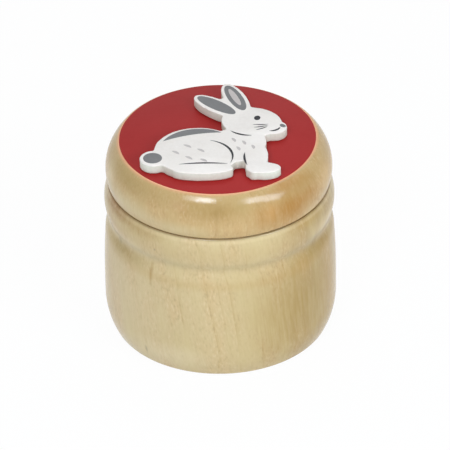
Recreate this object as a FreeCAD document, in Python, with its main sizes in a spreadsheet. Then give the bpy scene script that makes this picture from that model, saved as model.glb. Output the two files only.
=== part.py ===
# A small round wooden box for milk teeth: a turned cup with a bored hollow, a turned lid whose plug runs in
# the bore, a film of red paint on the lid's flat top, and a sitting rabbit sawn from thin plywood and glued
# on the paint. Millimetres and degrees, +Z up. The origin is the centre of the face that the cup stands on.
import FreeCAD, Part
import math
import os
import Sketcher

# Every driving dimension: the name that expressions use, its value, and what it measures.
SIZES = (
    ("barrel_dia", 45.0, "widest diameter of the cup"),
    ("cup_height", 31.9, "standing face to rim"),
    ("base_inset", 1.7, "widest side to the edge of the standing face, before that edge is rounded"),
    ("base_edge_radius", 1.6, "rounding of the standing face's edge"),
    ("base_curve_height", 6.8, "height of the curve between the standing face and the upright side"),
    ("side_height", 4.1, "upright side, above the curve; the cup draws in a little from there to the lip"),
    ("lip_dia", 44.25, "top of the taper, where the lip starts to roll in"),
    ("lip_height", 1.8, "rounded lip between the taper and the groove"),
    ("lip_roll", 0.5, "how far the lip rolls in to the edge of the groove"),
    ("groove_height", 1.8, "hollow curve of the groove, from the lip to the bead"),
    ("groove_lean", 0.1, "how far the foot of the bead lies inside the edge of the lip"),
    ("bead_height", 6.8, "groove to rim"),
    ("bead_curve_radius", 7.9, "section radius of the bead between the groove and the rim"),
    ("seam_dia", 42.7, "where the lid and the rim meet"),
    ("seam_edge_radius", 0.45, "softened edges on both sides of the seam"),
    ("bore_dia", 32.0, "hollow of the cup"),
    ("floor_thickness", 6.0, "wood under the hollow"),
    ("floor_corner_radius", 2.5, "rounding where the bore meets its floor"),
    ("bore_chamfer", 0.5, "bevel at the mouth of the bore"),
    ("lid_height", 8.8, "seam to the flat top of the lid"),
    ("lid_top_dia", 38.6, "flat top of the lid, before its edge is softened"),
    ("lid_curve_radius", 8.3, "section radius of the lid's side"),
    ("lid_top_edge_radius", 0.6, "softened edge of the flat top"),
    ("plug_length", 5.0, "plug of the lid, below the seam"),
    ("plug_clearance", 0.1, "radial play of the plug in the bore"),
    ("plug_chamfer", 0.8, "bevel at the end of the plug"),
    ("paint_margin", 0.25, "bare wood between the paint and the corner of the flat top"),
    ("paint_thickness", 0.1, "film of paint"),
    ("board_thickness", 2.0, "plywood of the rabbit"),
    ("saw_corner_radius", 0.6, "rounding that the saw leaves in the rabbit's inner corners"),
    ("ground_reach", 14.9, "axis of the box to the line that the rabbit sits on"),
    ("haunch_setback", 4.0, "axis of the box to the middle of the haunch, towards the tail"),
    ("haunch_length", 16.6, "haunch and back"),
    ("haunch_height", 15.8, "haunch and back"),
    ("tail_dia", 5.2, "round tail"),
    ("tail_overlap", 2.5, "how far the tail reaches into the haunch"),
    ("tail_rise", 5.4, "middle of the tail above the ground line"),
    ("chest_length", 12.6, "chest and neck"),
    ("chest_width", 10.8, "chest and neck"),
    ("chest_tilt", 55.0, "slope of the chest and neck"),
    ("chest_reach", 7.4, "middle of the haunch to the middle of the chest"),
    ("chest_rise", 2.0, "middle of the haunch to the middle of the chest"),
    ("foreleg_length", 9.8, "foreleg"),
    ("foreleg_width", 4.2, "foreleg"),
    ("foreleg_tilt", 82.0, "slope of the foreleg"),
    ("foreleg_reach", 3.8, "middle of the chest to the middle of the foreleg"),
    ("forefoot_length", 6.6, "forefoot"),
    ("forefoot_reach", 5.0, "middle of the chest to the middle of the forefoot"),
    ("hindfoot_length", 11.6, "hind foot"),
    ("hindfoot_reach", 0.9, "middle of the haunch to the middle of the hind foot"),
    ("foot_height", 3.5, "both feet"),
    ("head_length", 11.8, "skull"),
    ("head_height", 9.8, "skull"),
    ("head_tilt", 20.0, "how far the head nods"),
    ("head_reach", 3.0, "middle of the chest to the middle of the head"),
    ("head_rise", 7.9, "middle of the chest to the middle of the head"),
    ("muzzle_length", 6.2, "muzzle"),
    ("muzzle_height", 5.0, "muzzle"),
    ("muzzle_reach", 3.7, "middle of the head to the middle of the muzzle"),
    ("muzzle_drop", 1.8, "middle of the head to the middle of the muzzle"),
    ("ear_length", 11.4, "both ears"),
    ("ear_width", 4.3, "both ears"),
    ("ear_root", 2.9, "middle of the head to the foot of both ears"),
    ("front_ear_tilt", 110.0, "slope of the front ear"),
    ("rear_ear_tilt", 139.0, "slope of the rear ear"),
)

# Heights and radii that more than one piece takes its place from, as expressions.
SEAM_RADIUS = "dim.seam_dia / 2"
BORE_RADIUS = "dim.bore_dia / 2"
BEAD_FOOT = "dim.cup_height - dim.bead_height"
GROOVE_FOOT = f"{BEAD_FOOT} - dim.groove_height"
LIP_FOOT = f"{GROOVE_FOOT} - dim.lip_height"
LID_TOP = "dim.plug_length + dim.lid_height"
PAINT_LEVEL = "dim.cup_height + dim.lid_height"
BOARD_LEVEL = f"{PAINT_LEVEL} + dim.paint_thickness"

# How a section runs from one corner to the next, where it isn't an arc of a given radius.
STRAIGHT = "straight"
FROM_LAST = "arc that leaves the run before it smoothly"
INTO_NEXT = "arc that flows into the straight run after it"

# How near two places are the same, and how steep an edge counts as upright.
SAME_PLACE = 1e-4
NEARLY_UPRIGHT = 0.999

# An inner corner of the rabbit is sharp where this share of a small circle about it is wood.
SHARP_CORNER = 0.6
CORNER_PROBE = 0.05

# How much of an edge the roundings at its two ends may take up.
USABLE_EDGE = 0.95


doc = FreeCAD.newDocument("tooth_box")
sheet = doc.addObject("Spreadsheet::Sheet", "dim")
for row, (name, value, meaning) in enumerate(SIZES, start=1):
    sheet.set(f"A{row}", name)
    sheet.set(f"B{row}", str(value))
    sheet.set(f"C{row}", meaning)
    sheet.setAlias(f"B{row}", name)
doc.recompute()


def size(expression):
    """The number that an expression of the sheet's names comes to."""
    return float(sheet.evalExpression(expression))


def new_body(label):
    """An empty body for one piece."""
    body = doc.addObject("PartDesign::Body", label)
    body.Label = label
    return body


def arc_middle(start, end, heading):
    """The middle of the arc that leaves start along heading and ends at end, and how far it turns left."""
    chord = end - start
    swing = math.atan2(heading.x * chord.y - heading.y * chord.x, heading.dot(chord))
    to_the_right = FreeCAD.Vector(chord.y, -chord.x, 0)
    return (start + end) / 2 + to_the_right * math.tan(swing / 2) / 2, swing


def mirrored(heading, chord):
    """The heading at the other end of an arc, given the heading at one end and the arc's chord."""
    along = FreeCAD.Vector(chord).normalize()
    return along * (2 * heading.dot(along)) - heading


def run_headings(points, runs):
    """The heading at which each run of a section leaves its first corner."""
    chords = [points[(i + 1) % len(points)] - points[i] for i in range(len(points))]
    headings = []
    for i, run in enumerate(runs):
        if run == STRAIGHT:
            heading = FreeCAD.Vector(chords[i])
        elif run == FROM_LAST:
            heading = mirrored(headings[-1], chords[i - 1])
        elif run == INTO_NEXT:
            heading = mirrored(FreeCAD.Vector(chords[i + 1]).normalize(), chords[i])
        else:
            half_turn = math.asin(chords[i].Length / (2 * size(run)))
            turned = FreeCAD.Rotation(FreeCAD.Vector(0, 0, 1), -math.degrees(half_turn))
            heading = turned.multVec(chords[i])
        headings.append(heading.normalize())
    return headings


def bind(sketch, constraint, expression):
    """Add a measured constraint to a sketch and tie its value to the sheet."""
    number = sketch.addConstraint(constraint)
    sketch.setExpression(f"Constraints[{number}]", expression)


def half_section(body, name, corners):
    """A closed sketch of radius against height, in the XZ plane.

    Each corner is a radius, a height and the run that follows it to the next corner.
    """
    sketch = body.newObject("Sketcher::SketchObject", name)
    plane = next(part for part in body.Origin.OriginFeatures if part.Role == "XZ_Plane")
    sketch.AttachmentSupport = (plane, [""])
    sketch.MapMode = "FlatFace"
    points = [FreeCAD.Vector(size(radius), size(height), 0) for radius, height, _ in corners]
    runs = [run for _, _, run in corners]
    headings = run_headings(points, runs)

    ends = []
    for i, run in enumerate(runs):
        start, end = points[i], points[(i + 1) % len(points)]
        if run == STRAIGHT:
            line = sketch.addGeometry(Part.LineSegment(start, end))
            ends.append(((line, 1), (line, 2)))
            continue
        middle, swing = arc_middle(start, end, headings[i])
        arc = sketch.addGeometry(Part.ArcOfCircle(start, middle, end))
        ends.append(((arc, 1), (arc, 2)) if swing > 0 else ((arc, 2), (arc, 1)))

    for i, (radius, height, run) in enumerate(corners):
        before = i - 1
        smooth = run == FROM_LAST or runs[before] == INTO_NEXT
        joint = "Tangent" if smooth else "Coincident"
        sketch.addConstraint(Sketcher.Constraint(joint, *ends[before][1], *ends[i][0]))
        for kind, expression in (("DistanceX", radius), ("DistanceY", height)):
            from_origin = Sketcher.Constraint(kind, -1, 1, *ends[i][0], size(expression))
            bind(sketch, from_origin, expression)
        if run not in (STRAIGHT, FROM_LAST, INTO_NEXT):
            bind(sketch, Sketcher.Constraint("Radius", ends[i][0][0], size(run)), run)
    doc.recompute()
    if not sketch.FullyConstrained:
        raise RuntimeError(f"sketch {name} isn't fully constrained")
    return sketch


def turn(body, kind, name, sketch):
    """Turn a half section about the upright axis: a Revolution adds wood, a Groove takes it away."""
    feature = body.newObject(f"PartDesign::{kind}", name)
    feature.Profile = sketch
    feature.ReferenceAxis = (sketch, ["V_Axis"])
    feature.Angle = 360
    doc.recompute()
    return feature


def ease_ring(body, kind, name, radius, height, amount):
    """Round (Fillet) or bevel (Chamfer) the round edge of a body that lies at a radius and a height."""
    base = body.Tip
    wanted = size(radius), size(height)
    rings = []
    for number, edge in enumerate(base.Shape.Edges, start=1):
        if isinstance(edge.Curve, Part.Circle):
            found = edge.Curve.Radius, edge.Curve.Center.z
            if math.dist(found, wanted) < SAME_PLACE:
                rings.append(f"Edge{number}")
    feature = body.newObject(f"PartDesign::{kind}", name)
    feature.Base = (base, rings)
    feature.setExpression("Radius" if kind == "Fillet" else "Size", amount)
    doc.recompute()
    return feature


def make_cup():
    """The turned cup: a barrel on a curved foot, a groove and a bead under the rim, and a bored hollow."""
    body = new_body("box_body")
    barrel = "dim.barrel_dia / 2"
    base = f"{barrel} - dim.base_inset"
    lip = "dim.lip_dia / 2"
    groove = f"{lip} - dim.lip_roll"
    bead = f"{groove} - dim.groove_lean"
    turn(body, "Revolution", "turned_outside", half_section(body, "outside_section", (
        ("0", "0", STRAIGHT),
        (base, "0", INTO_NEXT),
        (barrel, "dim.base_curve_height", STRAIGHT),
        (barrel, "dim.base_curve_height + dim.side_height", FROM_LAST),
        (lip, LIP_FOOT, FROM_LAST),
        (groove, GROOVE_FOOT, FROM_LAST),
        (bead, BEAD_FOOT, "dim.bead_curve_radius"),
        (SEAM_RADIUS, "dim.cup_height", STRAIGHT),
        ("0", "dim.cup_height", STRAIGHT),
    )))
    solid_volume = body.Shape.Volume
    turn(body, "Groove", "bored_hollow", half_section(body, "hollow_section", (
        ("0", "dim.floor_thickness", STRAIGHT),
        (BORE_RADIUS, "dim.floor_thickness", STRAIGHT),
        (BORE_RADIUS, "dim.cup_height", STRAIGHT),
        ("0", "dim.cup_height", STRAIGHT),
    )))
    if body.Shape.Volume >= solid_volume:
        raise RuntimeError("the bore took nothing out of the cup")
    ease_ring(body, "Fillet", "base_edge", base, "0", "dim.base_edge_radius")
    ease_ring(body, "Fillet", "rim_edge", SEAM_RADIUS, "dim.cup_height", "dim.seam_edge_radius")
    ease_ring(body, "Fillet", "floor_corner", BORE_RADIUS, "dim.floor_thickness", "dim.floor_corner_radius")
    ease_ring(body, "Chamfer", "bore_mouth", BORE_RADIUS, "dim.cup_height", "dim.bore_chamfer")
    return body


def make_lid():
    """The turned lid: a rounded side, a flat top, and a plug that runs in the bore up to the seam."""
    body = new_body("lid")
    plug = f"{BORE_RADIUS} - dim.plug_clearance"
    seam = "dim.plug_length"
    turn(body, "Revolution", "turned_lid", half_section(body, "lid_section", (
        ("0", "0", STRAIGHT),
        (plug, "0", STRAIGHT),
        (plug, seam, STRAIGHT),
        (SEAM_RADIUS, seam, "dim.lid_curve_radius"),
        ("dim.lid_top_dia / 2", LID_TOP, STRAIGHT),
        ("0", LID_TOP, STRAIGHT),
    )))
    ease_ring(body, "Fillet", "top_edge", "dim.lid_top_dia / 2", LID_TOP, "dim.lid_top_edge_radius")
    ease_ring(body, "Fillet", "seat_edge", SEAM_RADIUS, seam, "dim.seam_edge_radius")
    ease_ring(body, "Chamfer", "plug_end", plug, "0", "dim.plug_chamfer")
    body.setExpression("Placement.Base.z", "dim.cup_height - dim.plug_length")
    return body


def make_paint():
    """The film of paint on the lid's flat top."""
    body = new_body("top_paint")
    paint = "dim.lid_top_dia / 2 - dim.paint_margin"
    turn(body, "Revolution", "painted_film", half_section(body, "film_section", (
        ("0", "0", STRAIGHT),
        (paint, "0", STRAIGHT),
        (paint, "dim.paint_thickness", STRAIGHT),
        ("0", "dim.paint_thickness", STRAIGHT),
    )))
    body.setExpression("Placement.Base.z", PAINT_LEVEL)
    return body


def sawn_oval(name, across, along, length, width, tilt):
    """A flat oval of plywood, with its middle at across and along, and its length turned by tilt from X."""
    outline = doc.addObject("Part::Ellipse", f"{name}_outline")
    outline.setExpression("MajorRadius", f"max({length}; {width}) / 2")
    outline.setExpression("MinorRadius", f"min({length}; {width}) / 2")
    outline.setExpression("Placement.Base.x", across)
    outline.setExpression("Placement.Base.y", along)
    outline.setExpression("Placement.Rotation.Angle", f"{tilt} + ({length} < {width} ? 90 : 0)")
    board = doc.addObject("Part::Extrusion", name)
    board.Base = outline
    board.DirMode = "Custom"
    board.Dir = FreeCAD.Vector(0, 0, 1)
    board.Solid = True
    board.setExpression("LengthFwd", "dim.board_thickness")
    return board


def inner_corners(shape):
    """The upright edges of a flat board where its outline turns inwards sharply."""
    circle = [math.radians(degrees) for degrees in range(0, 360, 10)]
    probes = [FreeCAD.Vector(math.cos(a), math.sin(a), 0) * CORNER_PROBE for a in circle]
    corners = []
    for edge in shape.Edges:
        if abs(edge.tangentAt(edge.FirstParameter).z) > NEARLY_UPRIGHT:
            wood = sum(shape.isInside(edge.CenterOfMass + probe, SAME_PLACE, True) for probe in probes)
            if wood > SHARP_CORNER * len(probes):
                corners.append(edge)
    return corners


def edges_beside(shape, corner):
    """The numbers of the two edges that leave the top of an upright corner, each with its direction."""
    top = max(corner.Vertexes, key=lambda vertex: vertex.Z)
    found = []
    for number, edge in enumerate(shape.Edges):
        if edge.isSame(corner) or not any(vertex.isSame(top) for vertex in edge.Vertexes):
            continue
        starts_here = edge.valueAt(edge.FirstParameter).isEqual(top.Point, SAME_PLACE)
        leaving = edge.tangentAt(edge.FirstParameter) if starts_here else -edge.tangentAt(edge.LastParameter)
        found.append((number, leaving))
    return found


def corner_roundings(shape, radius):
    """The place of each sharp inner corner, and the share of the radius that fits the edges beside it."""
    corners = []
    taken = [0.0] * len(shape.Edges)
    for corner in inner_corners(shape):
        (one, leaving_one), (other, leaving_other) = edges_beside(shape, corner)
        reach = radius / math.tan(leaving_one.getAngle(leaving_other) / 2)
        for number in (one, other):
            taken[number] += reach
        corners.append((corner.CenterOfMass, one, other))
    roundings = []
    for place, *sides in corners:
        room = min(USABLE_EDGE * shape.Edges[number].Length / taken[number] for number in sides)
        roundings.append((place, min(1.0, room)))
    return roundings


def make_rabbit():
    """The sitting rabbit, seen from its side with its nose towards +X, as one board of overlapping ovals."""
    ground = "-dim.ground_reach"
    haunch_x = "-dim.haunch_setback"
    haunch_y = f"{ground} + dim.haunch_height / 2"
    chest_x = f"{haunch_x} + dim.chest_reach"
    chest_y = f"{haunch_y} + dim.chest_rise"
    head_x = f"{chest_x} + dim.head_reach"
    head_y = f"{chest_y} + dim.head_rise"
    foot_y = f"{ground} + dim.foot_height / 2"
    ear_arm = "(dim.ear_root + dim.ear_length / 2)"
    ovals = [
        sawn_oval("haunch", haunch_x, haunch_y, "dim.haunch_length", "dim.haunch_height", "0"),
        sawn_oval("tail", f"{haunch_x} - (dim.haunch_length + dim.tail_dia) / 2 + dim.tail_overlap",
                  f"{ground} + dim.tail_rise", "dim.tail_dia", "dim.tail_dia", "0"),
        sawn_oval("chest", chest_x, chest_y, "dim.chest_length", "dim.chest_width", "dim.chest_tilt"),
        sawn_oval("foreleg", f"{chest_x} + dim.foreleg_reach", f"{ground} + dim.foreleg_length / 2",
                  "dim.foreleg_length", "dim.foreleg_width", "dim.foreleg_tilt"),
        sawn_oval("forefoot", f"{chest_x} + dim.forefoot_reach", foot_y,
                  "dim.forefoot_length", "dim.foot_height", "0"),
        sawn_oval("hindfoot", f"{haunch_x} + dim.hindfoot_reach", foot_y,
                  "dim.hindfoot_length", "dim.foot_height", "0"),
        sawn_oval("head", head_x, head_y, "dim.head_length", "dim.head_height", "-dim.head_tilt"),
        sawn_oval("muzzle", f"{head_x} + dim.muzzle_reach", f"{head_y} - dim.muzzle_drop",
                  "dim.muzzle_length", "dim.muzzle_height", "-dim.head_tilt"),
    ]
    for name, tilt in (("front_ear", "dim.front_ear_tilt"), ("rear_ear", "dim.rear_ear_tilt")):
        ovals.append(sawn_oval(name, f"{head_x} + {ear_arm} * cos({tilt} * 1 deg)",
                               f"{head_y} + {ear_arm} * sin({tilt} * 1 deg)",
                               "dim.ear_length", "dim.ear_width", tilt))
    blank = doc.addObject("Part::MultiFuse", "rabbit_blank")
    blank.Shapes = ovals
    blank.Refine = True
    body = new_body("rabbit_cutout")
    body.BaseFeature = blank
    doc.recompute()
    sawn = body.Group[0]
    roundings = corner_roundings(sawn.Shape, size("dim.saw_corner_radius"))
    for share in sorted({share for _, share in roundings}, reverse=True):
        places = [place for place, own_share in roundings if own_share == share]
        corners = [f"Edge{number}" for number, edge in enumerate(sawn.Shape.Edges, start=1)
                   if any(edge.CenterOfMass.isEqual(place, SAME_PLACE) for place in places)]
        rounding = body.newObject("PartDesign::Fillet", "saw_corners")
        rounding.Base = (sawn, corners)
        rounding.setExpression("Radius", f"{share} * dim.saw_corner_radius")
        doc.recompute()
        sawn = rounding
    body.setExpression("Placement.Base.z", BOARD_LEVEL)
    return body


def check(pieces):
    """Stop if any object of the document failed, or any piece isn't one sound solid."""
    for thing in doc.Objects:
        if {"Invalid", "Error"} & set(thing.State):
            raise RuntimeError(f"{thing.Label} failed: {thing.State}")
    for piece in pieces:
        if piece.Shape.isNull() or not piece.Shape.isValid() or len(piece.Shape.Solids) != 1:
            raise RuntimeError(f"{piece.Label} isn't one sound solid")


pieces = [make_cup(), make_lid(), make_paint(), make_rabbit()]
doc.recompute()
check(pieces)
os.makedirs("parts", exist_ok=True)
for piece in pieces:
    piece.Shape.exportStep(f"parts/{piece.Label}.step")
    box = piece.Shape.optimalBoundingBox()
    sides = " x ".join(f"{side:.2f}" for side in (box.XLength, box.YLength, box.ZLength))
    print(f"{piece.Label}: {sides} mm, {piece.Shape.Volume:.1f} mm3")
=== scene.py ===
"""Looks of a small turned wooden box for milk teeth, with a red top and a printed plywood rabbit.

The box is 45 mm across. Lengths are written in millimetres and used in metres, in the frame's own axes:
+Z is up along the turning axis, and -Y is the front, which the camera looks at. Azimuths are in degrees to
the right of the front.
"""

import logging
import math
from dataclasses import dataclass, field
from enum import Enum
from typing import Any, Callable

import bmesh
import bpy
from bmesh.types import BMesh, BMVert
from bpy.types import ID, Material, NodeSocket, NodeTree, Object
from mathutils import Color, Matrix, Quaternion, Vector, noise


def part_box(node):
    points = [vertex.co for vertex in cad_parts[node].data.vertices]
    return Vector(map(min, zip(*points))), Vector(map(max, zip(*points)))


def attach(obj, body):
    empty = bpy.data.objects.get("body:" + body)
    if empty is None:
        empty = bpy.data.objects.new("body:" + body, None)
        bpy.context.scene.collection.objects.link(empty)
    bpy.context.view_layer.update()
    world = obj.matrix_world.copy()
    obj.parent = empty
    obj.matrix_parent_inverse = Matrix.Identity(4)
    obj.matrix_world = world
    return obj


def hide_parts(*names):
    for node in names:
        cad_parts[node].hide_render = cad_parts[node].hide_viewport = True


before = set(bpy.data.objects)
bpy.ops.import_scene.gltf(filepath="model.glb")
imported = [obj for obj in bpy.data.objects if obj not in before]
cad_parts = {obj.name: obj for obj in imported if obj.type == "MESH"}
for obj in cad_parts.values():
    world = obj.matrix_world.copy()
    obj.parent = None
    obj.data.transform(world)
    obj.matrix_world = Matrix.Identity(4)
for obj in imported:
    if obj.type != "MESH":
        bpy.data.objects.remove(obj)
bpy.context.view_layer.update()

LOG = logging.getLogger("tooth_box")

MM = 0.001
UP = Vector((0.0, 0.0, 1.0))
FLAT = (1.0, 1.0, 0.0)
WHITE = (1.0, 1.0, 1.0, 1.0)
TURNS = 256
SECOND_FINISH = 1
FILM_EDGE_STEPS = 2
MERGE_DISTANCE = 0.001 * MM
SHARP_ANGLE = math.radians(32.0)

# Sockets of the colour form of a mix node.
MIX_FACTOR = 0
MIX_FIRST = 6
MIX_SECOND = 7
MIX_RESULT = 2

# Width of one band of a wave texture whose scale is 1.
WAVE_BAND = math.pi / 10.0


class Body(Enum):
    """The moving bodies of the frame."""

    CUP = "cup"
    LID = "lid_assembly"


class Slot(Enum):
    """The record's material slots."""

    WOOD = "lacquered_wood"
    PAINT = "red_paint"
    PLYWOOD = "painted_plywood"


def linear(colour: str) -> tuple[float, float, float, float]:
    """Turn an sRGB hex colour, with its hash sign, into linear light with an alpha of one."""
    shares = [level / 0xFF for level in bytes.fromhex(colour[1:])]
    return (*Color(shares).from_srgb_to_scene_linear(), 1.0)


def towards(azimuth: float, elevation: float = 0.0) -> Vector:
    """The unit vector to an azimuth and an elevation."""
    turn, rise = math.radians(azimuth), math.radians(elevation)
    return Vector((math.sin(turn) * math.cos(rise), -math.cos(turn) * math.cos(rise), math.sin(rise)))


def add_node(tree: NodeTree, kind: str, inputs: dict[str | int, Any], gives: str | int = 0,
             **settings: Any) -> NodeSocket:
    """Add a node to a tree, with its settings, values and links.

    Args:
        tree: the node tree.
        kind: the node's type, without the ShaderNode that it starts with.
        inputs: for each input, by name or number, a value or the output that feeds it.
        gives: the output that is wanted, by name or number.
        settings: attributes of the node.

    Returns:
        The wanted output.
    """
    node = tree.nodes.new(f"ShaderNode{kind}")
    for name, value in settings.items():
        setattr(node, name, value)
    for name, value in inputs.items():
        if isinstance(value, NodeSocket):
            tree.links.new(value, node.inputs[name])
        else:
            node.inputs[name].default_value = value
    return node.outputs[gives]


def layered(tree: NodeTree, colour: Any, layers: list[tuple[NodeSocket, str]]) -> NodeSocket:
    """Lay colours over a first colour, each by its own share.

    Args:
        tree: the material's tree.
        colour: the first colour, or the output that gives it.
        layers: for each colour on top, the output that gives its share, and the colour.

    Returns:
        The mixed colour.
    """
    for share, over in layers:
        colour = add_node(tree, "Mix", {MIX_FACTOR: share, MIX_FIRST: colour, MIX_SECOND: linear(over)},
                          MIX_RESULT, data_type="RGBA")
    return colour


def new_material(name: str) -> tuple[Material, NodeTree]:
    """Make a material with an empty node tree.

    Args:
        name: what the real material is.

    Returns:
        The material and its tree.
    """
    material = bpy.data.materials.new(name)
    material.use_nodes = True
    material.node_tree.nodes.clear()
    return material, material.node_tree


def give_surface(tree: NodeTree, shader: NodeSocket, owner: str = "Material") -> None:
    """Send a shader to the output of a material's tree, or of the World's."""
    output = tree.nodes.new(f"ShaderNodeOutput{owner}")
    tree.links.new(shader, output.inputs["Surface"])


@dataclass(frozen=True)
class SpotStainAndLight:
    """A soft-edged oval tint on a turned side, used for stains in the wood and also for painted shade,
    painted highlights and painted reflections.
    """

    azimuth: float
    height: float
    width: float
    length: float
    share: float
    tint: str

    SIDE_RADIUS = 21.8
    DEPTH = 8.0

    def mask(self, tree: NodeTree, place: NodeSocket) -> NodeSocket:
        """Add the nodes of the stain's oval.

        Args:
            tree: the material's tree.
            place: Object coordinates.

        Returns:
            How much of the tint a point takes, from 0 to share.
        """
        middle = towards(self.azimuth) * self.SIDE_RADIUS + UP * self.height
        oval = add_node(tree, "Mapping", {
            "Vector": place, "Location": middle * MM, "Rotation": (0.0, 0.0, math.radians(self.azimuth)),
            "Scale": Vector((self.width, self.DEPTH, self.length)) / 2 * MM}, vector_type="TEXTURE")
        reach = add_node(tree, "VectorMath", {0: oval}, "Value", operation="LENGTH")
        return add_node(tree, "MapRange", {
            "Value": reach, "From Min": 1.0, "From Max": 0.0, "To Max": self.share},
            interpolation_type="SMOOTHSTEP")


@dataclass(frozen=True)
class BandStainAndLight:
    """A tint that runs round the turned side at one height, and fades above and below it; used for stains in
    the wood and also for painted shade and painted highlights.
    """

    height: float
    reach: float
    share: float
    tint: str

    def mask(self, tree: NodeTree, place: NodeSocket) -> NodeSocket:
        """Add the nodes of the stain's band.

        Args:
            tree: the material's tree.
            place: Object coordinates.

        Returns:
            How stained a point is, from 0 to share.
        """
        height = add_node(tree, "SeparateXYZ", {0: place}, "Z")
        off = add_node(tree, "Math", {0: height, 1: self.height * MM}, operation="SUBTRACT")
        off = add_node(tree, "Math", {0: off}, operation="ABSOLUTE")
        return add_node(tree, "MapRange", {
            "Value": off, "From Min": self.reach * MM, "From Max": 0.0, "To Max": self.share},
            interpolation_type="SMOOTHSTEP")


@dataclass(frozen=True)
class FilmEdge:
    """The edge of the red film: a circle rolled by hand, which falls short on the right of the front."""

    radius: float = 19.05
    short_azimuth: float = 60.0
    short_depth: float = 0.56
    short_taper: float = 3.0

    @property
    def short_side(self) -> Vector:
        """The way to the middle of the short side."""
        return towards(self.short_azimuth)

    def missing(self, outward: Vector) -> float:
        """How much of the radius is missing towards a side, in metres."""
        return self.short_depth * MM * max(0.0, outward.dot(self.short_side)) ** self.short_taper


@dataclass(frozen=True)
class RimBleedAndHighlight:
    """A pale pink band on the wood just outside the red film, over the lid's rounded top edge: partly thin
    red paint over the wood, partly a painted highlight of that edge.
    """

    edge: FilmEdge
    reach: float
    share: float
    tint: str

    def mask(self, tree: NodeTree, place: NodeSocket) -> NodeSocket:
        """Add the nodes of the stain's ring.

        Args:
            tree: the material's tree.
            place: Object coordinates.

        Returns:
            How stained a point is, from 0 to share.
        """
        edge = self.edge
        flat = add_node(tree, "VectorMath", {0: place, 1: FLAT}, operation="MULTIPLY")
        radius = add_node(tree, "VectorMath", {0: flat}, "Value", operation="LENGTH")
        outward = add_node(tree, "VectorMath", {0: flat}, operation="NORMALIZE")
        facing = add_node(tree, "VectorMath", {0: outward, 1: edge.short_side}, "Value",
                          operation="DOT_PRODUCT")
        facing = add_node(tree, "Math", {0: facing, 1: 0.0}, operation="MAXIMUM")
        short = add_node(tree, "Math", {0: facing, 1: edge.short_taper}, operation="POWER")
        full = add_node(tree, "Math", {0: short, 1: edge.short_depth * MM, 2: radius},
                        operation="MULTIPLY_ADD")
        return add_node(tree, "MapRange", {
            "Value": full, "From Min": (edge.radius + self.reach) * MM, "From Max": edge.radius * MM,
            "To Max": self.share}, interpolation_type="SMOOTHSTEP")


@dataclass(frozen=True)
class Grain:
    """One pattern of the wood: the width and length of its grains, and how many finer layers it has."""

    width: float
    length: float
    layers: float

    FINE_SHARE = 0.55

    def pattern(self, tree: NodeTree, stick: NodeSocket) -> NodeSocket:
        """Add the pattern's nodes.

        Args:
            tree: the material's tree.
            stick: millimetres in the stick, with its fibres along Z.

        Returns:
            The pattern, about 0.5 on average.
        """
        grains = add_node(tree, "Mapping", {
            "Vector": stick, "Scale": (1.0 / self.width, 1.0 / self.width, 1.0 / self.length)})
        return add_node(tree, "TexNoise", {
            "Vector": grains, "Scale": 1.0, "Detail": self.layers, "Roughness": self.FINE_SHARE})


@dataclass(frozen=True)
class WoodFigure:
    """The figure of one stick of pale, even-grained hardwood, such as lime or maple.

    The fibres run along the turning axis. The growth rings are wide arcs, because the stick was sawn away
    from the pith, and they show as faint slanting lines where the turned side cuts through them. The fine
    fibres and the short ray flecks are drawn as wide as they need to be to show in the render. The mottle is
    the broad clouds of tone that lacquer brings out, the streaks take a stain more or less, and the ragged
    pattern is the heartwood's edge.
    """

    pith_azimuth: float
    pith_distance: float
    lean: float
    ring_width: float = 2.2
    ring_wander: float = 4.0
    late_wood: float = 7.0
    ragged_depth: float = 4.0
    ring_wave: Grain = Grain(8.8, 52.8, 2.0)
    fibres: Grain = Grain(0.36, 5.0, 3.0)
    flecks: Grain = Grain(0.42, 1.1, 1.0)
    mottle: Grain = Grain(4.5, 13.5, 4.0)
    streaks: Grain = Grain(0.8, 14.0, 2.0)
    ragged: Grain = Grain(4.0, 24.0, 2.0)

    RING_FADE = (0.36, 0.56)

    def stick(self, tree: NodeTree, place: NodeSocket) -> NodeSocket:
        """Add the nodes that turn a place on the box into millimetres from the pith of its stick.

        Args:
            tree: the material's tree.
            place: Object coordinates.

        Returns:
            The place in the stick.
        """
        pith = towards(self.pith_azimuth)
        return add_node(tree, "Mapping", {
            "Vector": place, "Location": -pith * self.pith_distance,
            "Rotation": UP.cross(pith) * math.radians(self.lean), "Scale": (1.0 / MM,) * 3})

    def reach(self, tree: NodeTree, stick: NodeSocket) -> NodeSocket:
        """Add the distance from the pith, in millimetres."""
        flat = add_node(tree, "VectorMath", {0: stick, 1: FLAT}, operation="MULTIPLY")
        return add_node(tree, "VectorMath", {0: flat}, "Value", operation="LENGTH")

    def rings(self, tree: NodeTree, stick: NodeSocket) -> NodeSocket:
        """Add the growth rings: each ends in a thin line of late wood, which fades here and there.

        Args:
            tree: the material's tree.
            stick: millimetres in the stick.

        Returns:
            How late the wood is, from 0 to 1.
        """
        wander = self.ring_wave.pattern(tree, stick)
        drawn = add_node(tree, "Math", {0: wander, 1: self.ring_wander, 2: self.reach(tree, stick)},
                         operation="MULTIPLY_ADD")
        count = add_node(tree, "Math", {0: drawn, 1: self.ring_width}, operation="DIVIDE")
        share = add_node(tree, "Math", {0: count}, operation="FRACT")
        late = add_node(tree, "Math", {0: share, 1: self.late_wood}, operation="POWER")
        number = add_node(tree, "Math", {0: count}, operation="FLOOR")
        strength = add_node(tree, "TexWhiteNoise", {"W": number}, noise_dimensions="1D")
        start, end = self.RING_FADE
        shown = add_node(tree, "MapRange", {
            "Value": self.mottle.pattern(tree, stick), "From Min": start, "From Max": end})
        for factor in (strength, shown):
            late = add_node(tree, "Math", {0: late, 1: factor}, operation="MULTIPLY")
        return late


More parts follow.
